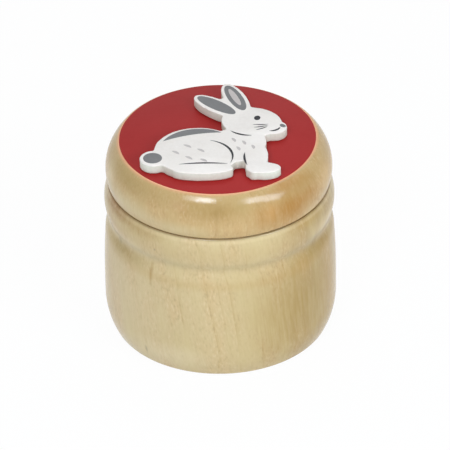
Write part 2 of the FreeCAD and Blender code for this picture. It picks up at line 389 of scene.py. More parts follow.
@dataclass(frozen=True)
class LacqueredWood:
    """Pale turned hardwood, sanded fine and sprayed with clear satin lacquer.

    To the eye it is a warm, even tan with faint upright streaks and flecks under a clear coat. The coat gives
    soft, slightly streaky reflections of the lamps, and a pale rim where the side turns away. One side of the
    stick is heartwood, which is browner.
    """

    name: str
    figure: WoodFigure
    pale: str
    deep: str
    ruddy: str
    fresh: str
    heart: str
    heart_share: float
    spots: tuple[SpotStainAndLight, ...]
    bands: tuple[BandStainAndLight | RimBleedAndHighlight, ...]
    dark_fleck: str = "#7E6134"
    pale_fleck: str = "#E8DAB4"
    ring_share: float = 0.6
    fibre_share: float = 0.5
    mottle_share: float = 0.55
    fleck_share: float = 0.22
    heart_edge: float = 27.0
    heart_core: float = 13.0
    grain_depth: float = 0.05
    grain_bump: float = 0.16
    coat_bump: float = 0.45

    CLOUD_TAIL = (0.5, 0.74)
    FLECK_TAIL = (0.55, 0.74)
    PATCH_EDGE = (0.4, 0.6)
    LEAST_PATCH = 0.25
    STREAK_EDGE = (0.35, 0.65)
    STREAK_TAKE = (0.8, 1.2)

    def material(self) -> Material:
        """Make the material.

        Returns:
            The material, which reads Object coordinates.
        """
        material, tree = new_material(self.name)
        place = add_node(tree, "TexCoord", {}, "Object")
        stick = self.figure.stick(tree, place)
        fibres = self.figure.fibres.pattern(tree, stick)
        colour = self._wood_colour(tree, stick, fibres)
        (start, end), (least, most) = self.STREAK_EDGE, self.STREAK_TAKE
        streaks = add_node(tree, "MapRange", {
            "Value": self.figure.streaks.pattern(tree, stick), "From Min": start, "From Max": end,
            "To Min": least, "To Max": most})
        # The spots and bands lay stains, painted shade, painted highlights and painted reflections over the
        # wood.
        for spot in self.spots:
            share = add_node(tree, "Math", {0: spot.mask(tree, place), 1: streaks}, operation="MULTIPLY")
            colour = layered(tree, colour, [(share, spot.tint)])
        colour = layered(tree, colour, [(band.mask(tree, place), band.tint) for band in self.bands])
        grain, ripple = (
            add_node(tree, "Bump", {
                "Height": fibres, "Strength": strength, "Distance": self.grain_depth * MM})
            for strength in (self.grain_bump, self.coat_bump))
        shader = add_node(tree, "BsdfPrincipled", {
            "Base Color": colour, "Roughness": 0.5, "IOR": 1.5, "Specular IOR Level": 0.1, "Normal": grain,
            "Coat Weight": 0.68, "Coat Roughness": 0.1, "Coat IOR": 1.5, "Coat Normal": ripple})
        give_surface(tree, shader)
        return material

    def _wood_colour(self, tree: NodeTree, stick: NodeSocket, fibres: NodeSocket) -> NodeSocket:
        """Add the wood's own colour.

        Args:
            tree: the material's tree.
            stick: millimetres in the stick.
            fibres: the fine fibres.

        Returns:
            The colour.
        """
        rings = self.figure.rings(tree, stick)
        tone = add_node(tree, "Math", {0: rings, 1: self.ring_share}, operation="MULTIPLY")
        tone = add_node(tree, "Math", {0: fibres, 1: self.fibre_share, 2: tone}, operation="MULTIPLY_ADD")
        layers = [(tone, self.deep), (self._heartwood(tree, stick), self.heart)]
        mottle, flecks = self.figure.mottle.pattern(tree, stick), self.figure.flecks.pattern(tree, stick)
        start, end = self.PATCH_EDGE
        patches = add_node(tree, "MapRange", {
            "Value": mottle, "From Min": start, "From Max": end,
            "To Min": self.LEAST_PATCH * self.fleck_share, "To Max": self.fleck_share})
        for grains, tail, share, high_tint, low_tint in (
                (mottle, self.CLOUD_TAIL, self.mottle_share, self.ruddy, self.fresh),
                (flecks, self.FLECK_TAIL, patches, self.dark_fleck, self.pale_fleck)):
            for tint, (start, end) in ((high_tint, tail), (low_tint, (1.0 - value for value in tail))):
                much = add_node(tree, "MapRange", {
                    "Value": grains, "From Min": start, "From Max": end, "To Max": share})
                layers.append((much, tint))
        return layered(tree, linear(self.pale), layers)

    def _heartwood(self, tree: NodeTree, stick: NodeSocket) -> NodeSocket:
        """Add the browner side of the stick, whose edge is ragged along the fibres.

        Args:
            tree: the material's tree.
            stick: millimetres in the stick.

        Returns:
            How much of the wood is heartwood, from 0 to heart_share.
        """
        figure = self.figure
        ragged = add_node(tree, "Math", {
            0: figure.ragged.pattern(tree, stick), 1: figure.ragged_depth, 2: figure.reach(tree, stick)},
            operation="MULTIPLY_ADD")
        middle = figure.ragged_depth / 2
        return add_node(tree, "MapRange", {
            "Value": ragged, "From Min": self.heart_edge + middle, "From Max": self.heart_core + middle,
            "To Max": self.heart_share}, interpolation_type="SMOOTHSTEP")


@dataclass(frozen=True)
class BareWood:
    """The same hardwood, bored and left bare inside the box.

    To the eye it is paler and quite matt, with fine rings from the cutter.
    """

    name: str
    figure: WoodFigure
    pale: str = "#E6D6B0"
    deep: str = "#CDB182"
    ring_share: float = 0.45
    cutter_step: float = 0.45
    cutter_wobble: float = 0.6
    cutter_depth: float = 0.03
    cutter_bump: float = 0.25

    def material(self) -> Material:
        """Make the material.

        Returns:
            The material, which reads Object coordinates.
        """
        material, tree = new_material(self.name)
        place = add_node(tree, "TexCoord", {}, "Object")
        stick = self.figure.stick(tree, place)
        rings, fibres = self.figure.rings(tree, stick), self.figure.fibres.pattern(tree, stick)
        tone = add_node(tree, "Math", {0: rings, 1: self.ring_share, 2: fibres}, operation="MULTIPLY_ADD")
        wood = layered(tree, linear(self.pale), [(tone, self.deep)])
        cutter = add_node(tree, "TexWave", {
            "Vector": place, "Scale": WAVE_BAND / (self.cutter_step * MM), "Distortion": self.cutter_wobble},
            "Fac", wave_type="BANDS", bands_direction="Z")
        bump = add_node(tree, "Bump", {
            "Height": cutter, "Strength": self.cutter_bump, "Distance": self.cutter_depth * MM})
        shader = add_node(tree, "BsdfPrincipled", {
            "Base Color": wood, "Roughness": 0.72, "IOR": 1.5, "Normal": bump})
        give_surface(tree, shader)
        return material


@dataclass(frozen=True)
class RolledAcrylic:
    """Opaque acrylic paint, rolled on thinly and left satin.

    To the eye it is one even colour with a faint stipple, a little uneven in depth where the roller lapped.
    """

    name: str
    colour: str
    thin: str
    lap_size: float = 6.0
    lap_layers: float = 3.0
    stipple_size: float = 0.55
    stipple_layers: float = 2.0
    stipple_share: float = 0.5
    stipple_depth: float = 0.05
    stipple_bump: float = 0.18
    gloss: float = 0.3

    FINE_SHARE = 0.6
    THIN_RANGE = (0.55, 0.95)

    def material(self) -> Material:
        """Make the material.

        Returns:
            The material, which reads Object coordinates.
        """
        material, tree = new_material(self.name)
        place = add_node(tree, "TexCoord", {}, "Object")
        laps, stipple = (
            add_node(tree, "TexNoise", {
                "Vector": place, "Scale": 1.0 / (size * MM), "Detail": layers, "Roughness": self.FINE_SHARE})
            for size, layers in ((self.lap_size, self.lap_layers), (self.stipple_size, self.stipple_layers)))
        depth = add_node(tree, "Math", {0: stipple, 1: self.stipple_share, 2: laps}, operation="MULTIPLY_ADD")
        start, end = self.THIN_RANGE
        thinness = add_node(tree, "MapRange", {"Value": depth, "From Min": start, "From Max": end})
        colour = layered(tree, linear(self.colour), [(thinness, self.thin)])
        bump = add_node(tree, "Bump", {
            "Height": stipple, "Strength": self.stipple_bump, "Distance": self.stipple_depth * MM})
        shader = add_node(tree, "BsdfPrincipled", {
            "Base Color": colour, "Roughness": 0.5, "IOR": 1.48, "Specular IOR Level": self.gloss,
            "Normal": bump})
        give_surface(tree, shader)
        return material


class TurnedSection:
    """A half section of turned wood, drawn from corner to corner in the XZ plane and spun about Z."""

    CHORD = 0.62
    LEAST_STEPS = 4
    ROUNDING_STEPS = 6

    def __init__(self, radius: float, height: float) -> None:
        """Start the section.

        Args:
            radius, height: where it starts.
        """
        self.mesh = bmesh.new()
        self.tip = self.mesh.verts.new(self._place(radius, height))
        self.heading = Vector((1.0, 0.0, 0.0))
        self.rounded: list[tuple[BMVert, float]] = []

    def _place(self, radius: float, height: float) -> Vector:
        """A place of the section in metres."""
        return Vector((radius, 0.0, height)) * MM

    def line(self, radius: float, height: float, rounding: float = 0.0) -> None:
        """Draw a straight run.

        Args:
            radius, height: where the run ends.
            rounding: radius that eases the corner there.
        """
        made = bmesh.ops.extrude_vert_indiv(self.mesh, verts=[self.tip])
        start, self.tip = self.tip, made["verts"][0]
        self.tip.co = self._place(radius, height)
        self.heading = (self.tip.co - start.co).normalized()
        self._ease(rounding)

    def arc(self, radius: float, height: float, arriving: Vector | None = None, bulge: float = 0.0,
            rounding: float = 0.0) -> None:
        """Draw a round run, which flows on from the run before if neither arriving nor bulge is given.

        Args:
            radius, height: where the run ends.
            arriving: unit vector along which the run arrives there.
            bulge: radius of a run that bulges outwards.
            rounding: radius that eases the corner there.
        """
        start, end = self.tip.co.copy(), self._place(radius, height)
        chord = end - start
        leaving = self.heading
        if arriving is not None:
            leaving = self._other_heading(arriving, chord)
        elif bulge:
            half_turn = math.asin(chord.length / (2.0 * bulge * MM))
            leaving = Matrix.Rotation(half_turn, 3, "Y") @ chord.normalized()
        normal = Vector((-leaving.z, 0.0, leaving.x))
        centre = start + normal * (chord.length_squared / (2.0 * normal.dot(chord)))
        angle = 2.0 * math.atan2(normal.dot(chord), leaving.dot(chord))
        steps = max(self.LEAST_STEPS, round(abs(angle) * (start - centre).length / (self.CHORD * MM)))
        made = bmesh.ops.spin(
            self.mesh, geom=[self.tip], cent=centre, axis=(0.0, -1.0, 0.0), angle=angle, steps=steps)
        self.tip = next(part for part in made["geom_last"] if isinstance(part, BMVert))
        self.heading = self._other_heading(leaving, chord)
        self._ease(rounding)

    def _other_heading(self, heading: Vector, chord: Vector) -> Vector:
        """The heading at the other end of an arc, given its heading at one end and its chord."""
        along = chord.normalized()
        return along * (2.0 * heading.dot(along)) - heading

    def _ease(self, rounding: float) -> None:
        """Note that the corner at the tip is to be rounded."""
        if rounding:
            self.rounded.append((self.tip, rounding * MM))

    def turned(self) -> BMesh:
        """Round the noted corners, and spin the section about the upright axis.

        Returns:
            The closed mesh, with its normals outwards.
        """
        mesh = self.mesh
        for corner, rounding in self.rounded:
            one, other = (edge.other_vert(corner).co - corner.co for edge in corner.link_edges)
            slide = rounding / math.tan(one.angle(other) / 2)
            bmesh.ops.bevel(
                mesh, geom=[corner], offset=slide, offset_type="OFFSET", affect="VERTICES",
                segments=self.ROUNDING_STEPS, profile=0.5, material=-1)
        bmesh.ops.spin(
            mesh, geom=mesh.verts[:] + mesh.edges[:], cent=(0.0, 0.0, 0.0), axis=UP, angle=2.0 * math.pi,
            steps=TURNS, use_merge=True)
        bmesh.ops.remove_doubles(mesh, verts=mesh.verts[:], dist=MERGE_DISTANCE)
        bmesh.ops.recalc_face_normals(mesh, faces=mesh.faces[:])
        return mesh


def show(name: str, data: ID) -> Object:
    """Add an object to the scene.

    Args:
        name: its name.
        data: its mesh, lamp or camera.

    Returns:
        The object.
    """
    shown = bpy.data.objects.new(name, data)
    bpy.context.scene.collection.objects.link(shown)
    return shown


def place_piece(name: str, mesh: BMesh, body: Body, slot: Slot, materials: list[Material],
                stands_for: str = "") -> None:
    """Turn a finished bmesh into a piece of the object.

    Args:
        name: name of the piece.
        mesh: its mesh, in place, which is used up.
        body: the body that it moves with.
        slot: the record's slot of its finish; not used.
        materials: its materials, in the order of its faces' material numbers.
        stands_for: the node that it replaces, if any.
    """
    for face in mesh.faces:
        face.smooth = True
    data = bpy.data.meshes.new(name)
    mesh.to_mesh(data)
    mesh.free()
    data.set_sharp_from_angle(angle=SHARP_ANGLE)
    for material in materials:
        data.materials.append(material)
    piece = show(name, data)
    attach(piece, body.value)
    if stands_for:
        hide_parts(stands_for)
    LOG.info("%s: %d faces on %s", name, len(data.polygons), body.value)


def give_second_finish(mesh: BMesh, belongs: Callable[[Vector], bool]) -> None:
    """Give some faces of a mesh the second of its materials.

    Args:
        mesh: the mesh.
        belongs: says whether a face with its middle at a place is one of them.
    """
    for face in mesh.faces:
        if belongs(face.calc_center_median()):
            face.material_index = SECOND_FINISH


@dataclass
class TurnedCup:
    """The turned cup: a barrel on a curved foot, a groove and a bead under the rim, and a bored hollow."""

    outside: LacqueredWood
    inside: BareWood
    barrel_dia: float = 45.0
    height: float = 31.9
    base_inset: float = 1.7
    base_rounding: float = 1.6
    foot_height: float = 6.8
    side_height: float = 4.1
    lip_dia: float = 44.25
    lip_height: float = 1.8
    lip_roll: float = 0.5
    groove_height: float = 1.8
    groove_lean: float = 0.1
    bead_height: float = 6.8
    bead_bulge: float = 7.9
    seam_dia: float = 42.7
    seam_rounding: float = 0.45
    bore_dia: float = 32.0
    floor: float = 6.0
    floor_rounding: float = 2.5
    mouth_bevel: float = 0.5

    def section(self) -> TurnedSection:
        """Draw the half section, from the middle of the standing face round to the middle of the floor.

        Returns:
            The section.
        """
        barrel, lip = self.barrel_dia / 2, self.lip_dia / 2
        seam, bore = self.seam_dia / 2, self.bore_dia / 2
        groove = lip - self.lip_roll
        bead = groove - self.groove_lean
        bead_foot = self.height - self.bead_height
        groove_foot = bead_foot - self.groove_height

        section = TurnedSection(0.0, 0.0)
        section.line(barrel - self.base_inset, 0.0, self.base_rounding)
        section.arc(barrel, self.foot_height, arriving=UP)
        section.line(barrel, self.foot_height + self.side_height)
        section.arc(lip, groove_foot - self.lip_height)
        section.arc(groove, groove_foot)
        section.arc(bead, bead_foot)
        section.arc(seam, self.height, bulge=self.bead_bulge, rounding=self.seam_rounding)
        section.line(bore + self.mouth_bevel, self.height)
        section.line(bore, self.height - self.mouth_bevel)
        section.line(bore, self.floor, self.floor_rounding)
        section.line(0.0, self.floor)
        return section

    def build(self) -> None:
        """Make the cup."""
        mesh = self.section().turned()
        bare_reach = (self.seam_dia / 2 - self.seam_rounding) * MM
        above_base = self.floor * MM / 2
        give_second_finish(mesh, lambda place: place.xy.length < bare_reach and place.z > above_base)
        place_piece("turned_cup", mesh, Body.CUP, Slot.WOOD,
                    [self.outside.material(), self.inside.material()], "box_body")


@dataclass
class TurnedLid:
    """The turned lid: a rounded side, a flat top, and a plug that runs in the bore."""

    outside: LacqueredWood
    inside: BareWood
    cup: TurnedCup
    height: float = 8.8
    top_dia: float = 38.6
    side_bulge: float = 8.3
    top_rounding: float = 0.6
    plug_length: float = 5.0
    plug_play: float = 0.1
    plug_bevel: float = 0.8
    seat_relief: float = 0.1

    def section(self) -> TurnedSection:
        """Draw the half section, from the middle of the plug's end round to the middle of the top.

        Returns:
            The section.
        """
        seat = self.cup.height
        plug = self.cup.bore_dia / 2 - self.plug_play
        top_level, plug_level = seat + self.height, seat - self.plug_length

        section = TurnedSection(0.0, plug_level)
        section.line(plug - self.plug_bevel, plug_level)
        section.line(plug, plug_level + self.plug_bevel)
        section.line(plug, seat)
        section.line(self.cup.seam_dia / 2, seat + self.seat_relief, self.cup.seam_rounding)
        section.arc(self.top_dia / 2, top_level, bulge=self.side_bulge, rounding=self.top_rounding)
        section.line(0.0, top_level)
        return section

    def build(self) -> None:
        """Make the lid."""
        mesh = self.section().turned()
        level = (self.cup.height + self.seat_relief) * MM
        give_second_finish(mesh, lambda place: place.z < level)
        place_piece("turned_lid", mesh, Body.LID, Slot.WOOD,
                    [self.outside.material(), self.inside.material()], "lid")


def raise_film(mesh: BMesh, thickness: float, rounding: float = 0.0) -> None:
    """Give flat faces a thickness upwards, as a closed solid, and round the edge of its top.

    Args:
        mesh: flat faces that look up or down.
        thickness: thickness in metres.
        rounding: radius of the top edge in metres.
    """
    made = bmesh.ops.extrude_face_region(mesh, geom=mesh.faces[:])
    top = [part for part in made["geom"] if isinstance(part, BMVert)]
    bmesh.ops.translate(mesh, verts=top, vec=UP * thickness)
    bmesh.ops.recalc_face_normals(mesh, faces=mesh.faces[:])
    if rounding:
        upper = [edge for edge in mesh.edges if edge.calc_face_angle(0.0) > SHARP_ANGLE
                 and all(vert in top for vert in edge.verts)]
        bmesh.ops.bevel(mesh, geom=upper, offset=rounding, offset_type="OFFSET", affect="EDGES",
                        segments=FILM_EDGE_STEPS, profile=0.5, material=-1)


@dataclass
class PaintFilm:
    """The film of red paint on the lid's flat top."""

    finish: RolledAcrylic
    lid: TurnedLid
    edge: FilmEdge
    thickness: float = 0.1
    edge_rounding: float = 0.05

    def build(self) -> None:
        """Make the film."""
        level = (self.lid.cup.height + self.lid.height) * MM
        mesh = bmesh.new()
        bmesh.ops.create_circle(mesh, cap_ends=True, radius=self.edge.radius * MM, segments=TURNS)
        for vert in mesh.verts:
            outward = vert.co.normalized()
            vert.co += UP * level - outward * self.edge.missing(outward)
        raise_film(mesh, self.thickness * MM, self.edge_rounding * MM)
        place_piece("painted_top", mesh, Body.LID, Slot.PAINT, [self.finish.material()], "top_paint")


class Ink(Enum):
    """The inks of the print. A later ink lies on an earlier one, so it is a little thicker."""

    GREY = ("grey_print", "#6E6D6B", "#777674", 0.02)
    PALE = ("pale_print", "#BBB2AC", "#C3BAB4", 0.03)
    BLACK = ("black_print", "#1C1B1D", "#2A292B", 0.04)

    def __init__(self, piece: str, colour: str, thin: str, thickness: float) -> None:
        """Note what the ink is like.

        Args:
            piece: name of its piece.
            colour, thin: its colour where it is thick and where it is thin.
            thickness: thickness in millimetres.
        """
        self.piece = piece
        self.finish = RolledAcrylic(f"{piece.split('_')[0]} screen ink on plywood", colour, thin)
        self.thickness = thickness * MM


@dataclass
class RabbitBoard:
    """The plywood rabbit: its sawn outline, with the white paint drawn round its top edge.

    The sawn side drinks its paint, so it is duller and creamier than the face. Its greenish grey also cancels
    the pink light that the red top throws on it, which is painted light.
    """

    finish: RolledAcrylic
    side_finish: RolledAcrylic
    edge_rounding: float = 0.18
    foot_rounding: float = 0.4
    saw_wander: float = 0.07
    saw_wave: float = 0.9
    saw_seed: int = 1

    EDGE_STEPS = 3
    FLAT_ANGLE = math.radians(0.5)

    @property
    def print_level(self) -> float:
        """The height of the white face that the inks lie on, in metres."""
        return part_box("rabbit_cutout")[1].z - Ink.BLACK.thickness

    def build(self) -> None:
        """Make the board from a merged copy of the frame's outline."""
        mesh = bmesh.new()
        mesh.from_mesh(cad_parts["rabbit_cutout"].data)
        bmesh.ops.remove_doubles(mesh, verts=mesh.verts[:], dist=MERGE_DISTANCE)
        bmesh.ops.dissolve_limit(mesh, angle_limit=self.FLAT_ANGLE, verts=mesh.verts[:], edges=mesh.edges[:])
        top_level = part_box("rabbit_cutout")[1].z
        top = [vert for vert in mesh.verts if top_level - vert.co.z < MERGE_DISTANCE]
        bmesh.ops.translate(mesh, verts=top, vec=UP * (self.print_level - top_level))
        noise.seed_set(self.saw_seed)
        for vert in mesh.verts:
            wander = noise.noise_vector(vert.co / (self.saw_wave * MM)) * self.saw_wander * MM
            vert.co.xy += wander.xy
        rim = [edge for edge in mesh.edges if all(vert in top for vert in edge.verts)]
        foot = [edge for edge in mesh.edges if not any(vert in top for vert in edge.verts)]
        for edges, rounding in ((rim, self.edge_rounding), (foot, self.foot_rounding)):
            bmesh.ops.bevel(mesh, geom=edges, offset=rounding * MM, offset_type="OFFSET", affect="EDGES",
                            segments=self.EDGE_STEPS, profile=0.5, material=-1)
        side_top = self.print_level - self.edge_rounding * MM
        give_second_finish(mesh, lambda place: place.z < side_top)
        place_piece("rabbit_board", mesh, Body.LID, Slot.PLYWOOD,
                    [self.finish.material(), self.side_finish.material()], "rabbit_cutout")


@dataclass(frozen=True)
class Oval:
    """An oval of ink, in millimetres from the turning axis."""

    across: float
    along: float
    length: float
    width: float
    tilt: float = 0.0

    SEGMENTS = 40

    def draw(self, mesh: BMesh, level: float) -> None:
        """Add the oval's face to a mesh.

        Args:
            mesh: the mesh of an ink.
            level: height of the face, in metres.
        """
        place = Matrix.Translation((self.across * MM, self.along * MM, level))
        turn = Matrix.Rotation(math.radians(self.tilt), 4, "Z")
        shape = Matrix.Diagonal((self.length / 2, self.width / 2, 1.0, 1.0))
        bmesh.ops.create_circle(mesh, cap_ends=True, radius=MM, segments=self.SEGMENTS,
                                matrix=place @ turn @ shape)


@dataclass(frozen=True)
class Sickle:
    """A stroke of ink between two points, with pointed ends, in millimetres from the turning axis.

    Its two sides are arcs. Their rise is measured to the left of the way from the start to the end.
    """

    start: tuple[float, float]
    end: tuple[float, float]
    rise: float
    thickness: float

    STEPS = 14

    def draw(self, mesh: BMesh, level: float) -> None:
        """Add the stroke's face to a mesh.

        Args:
            mesh: the mesh of an ink.
            level: height of the face, in metres.
        """
        start, end = (Vector((*point, 0.0)) * MM + UP * level for point in (self.start, self.end))
        first = mesh.verts.new(start)
        far = self._side(mesh, first, end, self.rise + self.thickness / 2)
        last = self._side(mesh, far, start, self.thickness / 2 - self.rise)
        bmesh.ops.remove_doubles(mesh, verts=[first, last], dist=MERGE_DISTANCE)
        bmesh.ops.contextual_create(mesh, geom=[edge for edge in mesh.edges if edge.is_wire])

    def _side(self, mesh: BMesh, tip: BMVert, end: Vector, rise: float) -> BMVert:
        """Draw one side of the stroke, from a vertex.

        Args:
            mesh: the mesh of an ink.
            tip: where the side starts.
            end: where the side ends, in metres.
            rise: how far the side bulges to its left, in millimetres.

        Returns:
            The vertex at the side's end.
        """
        chord = end - tip.co
        bulge = rise * MM
        to_centre = (chord.length_squared / 4 - bulge ** 2) / (2 * bulge)
        centre = (tip.co + end) / 2 - UP.cross(chord).normalized() * to_centre
        made = bmesh.ops.spin(mesh, geom=[tip], cent=centre, axis=UP, steps=self.STEPS,
                              angle=-4.0 * math.atan(2.0 * bulge / chord.length))
        return next(part for part in made["geom_last"] if isinstance(part, BMVert))


@dataclass
class RabbitPrint:
    """The print on the white board: grey fur, pale ticks and fine black lines."""

    level: float
    marks: dict[Ink, tuple[Oval | Sickle, ...]] = field(default_factory=lambda: {
        Ink.GREY: (
            Oval(3.35, 11.25, 9.4, 2.9, 110.0),
            Oval(-0.30, 8.75, 9.4, 2.9, 139.0),
            Oval(-12.55, -9.5, 3.6, 3.6),
            Sickle((0.6, -0.9), (-10.6, -3.7), -1.7, 1.9),
            Oval(12.35, 1.15, 1.35, 0.95, -50.0),
        ),
        Ink.PALE: (
            Oval(3.25, 11.5, 6.2, 1.2, 110.0),
            Sickle((-8.9, -7.1), (-7.5, -8.3), 0.14, 0.62),
            Sickle((-6.7, -5.0), (-5.2, -6.1), 0.14, 0.62),
            Sickle((-6.4, -9.0), (-5.0, -10.2), 0.14, 0.62),
            Sickle((-4.1, -6.5), (-2.7, -7.7), 0.14, 0.62),
            Sickle((-3.6, -10.0), (-2.2, -11.0), 0.14, 0.62),
            Sickle((2.5, -2.9), (3.2, -4.3), 0.14, 0.62),
            Sickle((4.5, -3.9), (5.1, -5.3), 0.14, 0.62),
            Sickle((3.4, -5.9), (4.0, -7.3), 0.14, 0.62),
            Sickle((6.3, -5.4), (6.7, -6.8), 0.14, 0.62),
        ),
        Ink.BLACK: (
            Oval(7.5, 4.0, 1.5, 1.2, 80.0),
            Sickle((2.2, -11.5), (-1.6, -3.6), -2.0, 0.46),
            Sickle((-7.6, -11.75), (1.7, -11.75), 0.35, 0.4),
            Sickle((5.0, -7.9), (5.4, -12.4), -0.3, 0.44),
            Sickle((2.3, -0.3), (6.4, -2.05), -0.5, 0.42),
            Sickle((11.9, 0.75), (9.7, -0.55), 0.5, 0.4),
            Sickle((9.6, 1.75), (6.6, 1.75), 0.12, 0.22),
            Sickle((9.5, 1.35), (6.8, 0.75), 0.12, 0.22),
            Sickle((9.4, 0.95), (7.2, -0.15), 0.12, 0.22),
        ),
    })

    def build(self) -> None:
        """Make one piece for each ink."""
        for ink, marks in self.marks.items():
            mesh = bmesh.new()
            for mark in marks:
                mark.draw(mesh, self.level)
            raise_film(mesh, ink.thickness)
            place_piece(ink.piece, mesh, Body.LID, Slot.PLYWOOD, [ink.finish.material()])


@dataclass(frozen=True)
class SoftBox:
    """An oblong soft box that faces the object, and whose roll lifts its right end."""

    name: str
    azimuth: float
    elevation: float
    roll: float
    width: float
    height: float
    power: float
    distance: float = 600.0
    colour: str = "#E8F2FF"

    def hang(self, target: Vector) -> None:
        """Hang the box.

        Args:
            target: what it faces, in millimetres.
        """
        data = bpy.data.lights.new(self.name, "AREA")
        data.shape = "RECTANGLE"
        data.size, data.size_y = self.width * MM, self.height * MM
        data.energy = self.power
        data.color = linear(self.colour)[:3]
        way = towards(self.azimuth, self.elevation)
        facing = way.to_track_quat("Z", "Y") @ Quaternion(UP, math.radians(self.roll))
        lamp = show(self.name, data)
        lamp.location = (target + way * self.distance) * MM
        lamp.rotation_euler = facing.to_euler()


@dataclass
class Studio:
    """A white table in a white tent that is brighter on the left, five soft boxes, and the camera."""

    camera_elevation: float = 34.119
    camera_roll: float = 0.869
    camera_distance: float = 1000.0
    nearest: float = 10.0
    farthest: float = 100000.0
    frame_width: float = 87.19
    target_height: float = 20.0
    aim_across: float = 0.992
    aim_up: float = 0.649
    sensor_width: float = 36.0
    left_ambient: float = 0.416
    right_ambient: float = 0.362
    floor_reach: float = 4000.0
    floor_colour: str = "#F0F0EE"
    floor_glow: float = 0.96
    # Each box: azimuth, elevation, roll, width, height and power in watts.
    boxes: tuple[SoftBox, ...] = (
        SoftBox("left_softbox", -15.4, 42.6, 7.0, 140.0, 122.0, 1.16),
        SoftBox("left_wing", -29.5, 42.6, 7.0, 150.0, 130.0, 0.45),
        SoftBox("right_softbox", 47.6, 28.0, -30.0, 366.0, 142.0, 1.64),
        SoftBox("right_wing", 31.0, 34.5, -27.0, 160.0, 120.0, 0.18),
        SoftBox("top_softbox", 180.0, 62.0, 0.0, 420.0, 300.0, 0.9),
    )

    FLOOR_SEGMENTS = 64

    def place_camera(self) -> None:
        """Set the camera at the photograph's viewing angle."""
        tilt, roll = math.radians(self.camera_elevation), math.radians(self.camera_roll)
        right = Vector((1.0, 0.0, 0.0))
        up = Vector((0.0, math.sin(tilt), math.cos(tilt)))
        back = towards(0.0, self.camera_elevation)
        across = right * math.cos(roll) - up * math.sin(roll)
        upward = right * math.sin(roll) + up * math.cos(roll)
        aim = UP * self.target_height + across * self.aim_across + upward * self.aim_up
        data = bpy.data.cameras.new("camera")
        data.sensor_width = self.sensor_width
        data.lens = self.sensor_width * self.camera_distance / self.frame_width
        data.clip_start, data.clip_end = self.nearest * MM, self.farthest * MM
        axes = Matrix((across, upward, back)).transposed().to_4x4()
        camera = show("camera", data)
        camera.matrix_world = Matrix.Translation((aim + back * self.camera_distance) * MM) @ axes
        bpy.context.scene.camera = camera

    def _seen_share(self, tree: NodeTree, share: float) -> NodeSocket:
        """Add the nodes that pick out rays from the camera, directly or by gloss or glass.

        Args:
            tree: the tree.
            share: the value for such rays.

        Returns:
            The share for such rays, and 0 for others.
        """
        seen = add_node(tree, "LightPath", {}, "Is Camera Ray")
        rays = seen.node.outputs
        for kind in ("Is Glossy Ray", "Is Transmission Ray"):
            seen = add_node(tree, "Math", {0: seen, 1: rays[kind]}, operation="MAXIMUM")
        return add_node(tree, "Math", {0: seen, 1: share}, operation="MULTIPLY")

    def set_surround(self) -> None:
        """Make the tent's white light, brighter on the left, which the camera sees as plain white."""
        world = bpy.data.worlds.new("white_tent")
        bpy.context.scene.world = world
        world.use_nodes = True
        tree = world.node_tree
        tree.nodes.clear()
        side = add_node(tree, "TexCoord", {}, "Generated")
        across = add_node(tree, "SeparateXYZ", {0: side}, "X")
        strength = add_node(tree, "MapRange", {
            "Value": across, "From Min": -1.0, "From Max": 1.0, "To Min": self.left_ambient,
            "To Max": self.right_ambient})
        light = add_node(tree, "Background", {"Color": WHITE, "Strength": strength})
        white = add_node(tree, "Background", {"Color": WHITE, "Strength": 1.0})
        surround = add_node(tree, "MixShader", {0: self._seen_share(tree, 1.0), 1: light, 2: white})
        give_surface(tree, surround, "World")

    def lay_floor(self) -> None:
        """Lay a matt white table top that keeps the object's shadow."""
        mesh = bmesh.new()
        bmesh.ops.create_circle(
            mesh, cap_ends=True, radius=self.floor_reach * MM, segments=self.FLOOR_SEGMENTS)
        data = bpy.data.meshes.new("table_top")
        mesh.to_mesh(data)
        mesh.free()
        material, tree = new_material("matt white card")
        card = add_node(tree, "BsdfDiffuse", {"Color": linear(self.floor_colour)})
        glow = add_node(tree, "Emission", {"Color": WHITE, "Strength": 1.0})
        seen = add_node(tree, "MixShader", {0: self._seen_share(tree, self.floor_glow), 1: card, 2: glow})
        give_surface(tree, seen)
        data.materials.append(material)
        floor = show("table_top", data)

    def build(self) -> None:
        """Set the whole stage."""
        bpy.context.scene.view_settings.view_transform = "Standard"
        self.place_camera()
        self.set_surround()
        self.lay_floor()
        for box in self.boxes:
            box.hang(UP * self.target_height)
